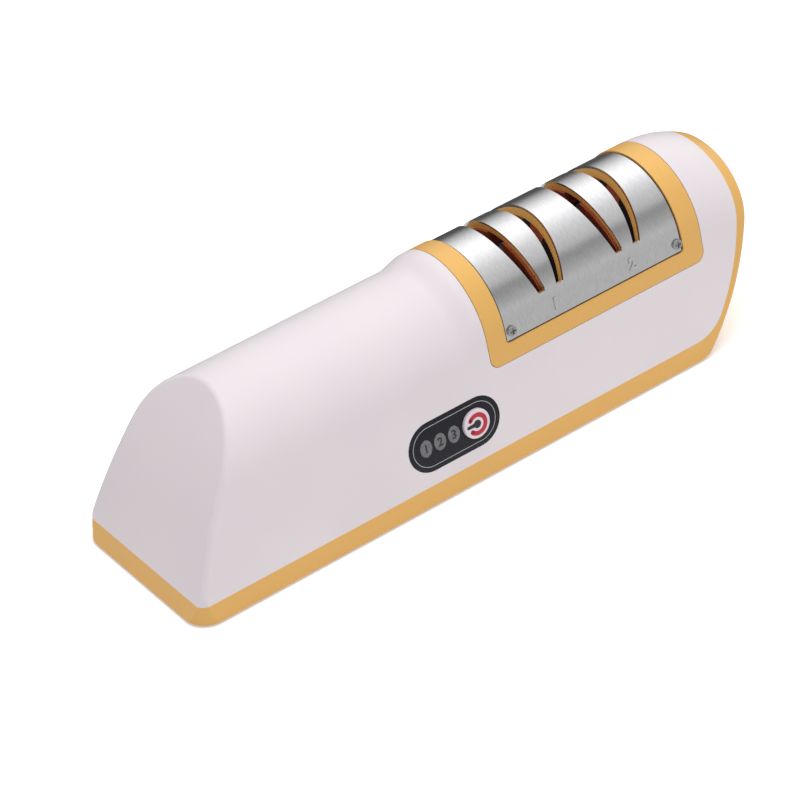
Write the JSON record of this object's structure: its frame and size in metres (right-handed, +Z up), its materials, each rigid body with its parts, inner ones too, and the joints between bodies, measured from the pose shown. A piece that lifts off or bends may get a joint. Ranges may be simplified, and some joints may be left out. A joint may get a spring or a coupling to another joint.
{
  "type": "electric knife sharpener",
  "caption": "Bench-top electric knife sharpener: a low arched housing with a handle end, a slotted steel cover over motor-driven abrasive wheels, and a front panel with a push button.",
  "frame": {"origin": "Middle of the rest face, on the surface that the sharpener stands on.", "axes": "+X runs along the body from the handle end to the slotted head, -Y is the side with the control panel, +Z is up."},
  "size_m": [0.2482, 0.07, 0.0696],
  "materials": {
    "housing_white": "satin",
    "trim_gold": "satin metallic paint",
    "cover_steel": "brushed along the slots",
    "screw_steel": "bright zinc",
    "guide_red": "matt",
    "chamber_black": "matt",
    "panel_black": "gloss",
    "lens_grey": "smoked",
    "button_white": "gloss",
    "switch_black": "matt",
    "led_clear": "clear resin",
    "board_green": "solder mask",
    "motor_steel": "zinc plated",
    "magnet_grey": "sintered",
    "copper": "enamelled copper",
    "brass_part": "plain",
    "coupling_rubber": "matt",
    "hub_plastic": "matt",
    "abrasive_fine": "fine grit",
    "abrasive_coarse": "coarse grit",
    "feet_rubber": "matt"
  },
  "bodies": {
    "housing": {"upper_shell": "housing_white", "base_chassis": "trim_gold", "slot_saddle": "trim_gold", "steel_cover": "cover_steel", "cover_screws": "screw_steel", "board_screws": "screw_steel", "bearing_cap_screws": "screw_steel", "strap_screws": "screw_steel", "base_screws": "screw_steel", "blade_guide_fine": "guide_red", "blade_guide_coarse": "guide_red", "guide_cheeks": "guide_red", "wheel_hood": "chamber_black", "filings_trough": "chamber_black", "bearing_caps": "chamber_black", "motor_end_cap": "chamber_black", "inlet_body": "chamber_black", "inlet_nut": "chamber_black", "control_panel": "panel_black", "indicator_lenses": "lens_grey", "switch_body": "switch_black", "indicator_leds": "led_clear", "circuit_board": "board_green", "motor_can": "motor_steel", "motor_strap": "motor_steel", "motor_magnets": "magnet_grey", "motor_brushes": "magnet_grey", "motor_terminals": "brass_part", "inlet_pin": "brass_part", "motor_bushes": "brass_part", "shaft_bushes": "brass_part", "rubber_feet": "feet_rubber"},
    "drive": {"motor_shaft": "motor_steel", "rotor_core": "motor_steel", "rotor_coils": "copper", "commutator": "copper", "shaft_coupling": "coupling_rubber", "drive_shaft": "motor_steel", "fine_hub": "hub_plastic", "fine_wheel": "abrasive_fine", "wheel_spacer": "hub_plastic", "coarse_hub": "hub_plastic", "coarse_wheel": "abrasive_coarse", "clamp_washer": "screw_steel", "wheel_nut": "screw_steel"},
    "button": {"power_button": "button_white", "switch_plunger": "switch_black"}
  },
  "joints": [
    {"name": "drive_spin", "type": "hinge", "parent": "housing", "child": "drive", "pos_m": [0, 0, 0.0385], "axis": [1, 0, 0], "continuous": true},
    {"name": "power_press", "type": "slide", "parent": "housing", "child": "button", "axis": [0, 0.9819, -0.1895], "range_m": [0, 0.001], "stiffness_N_per_m": 600, "springref_m": -0.001}
  ]
}
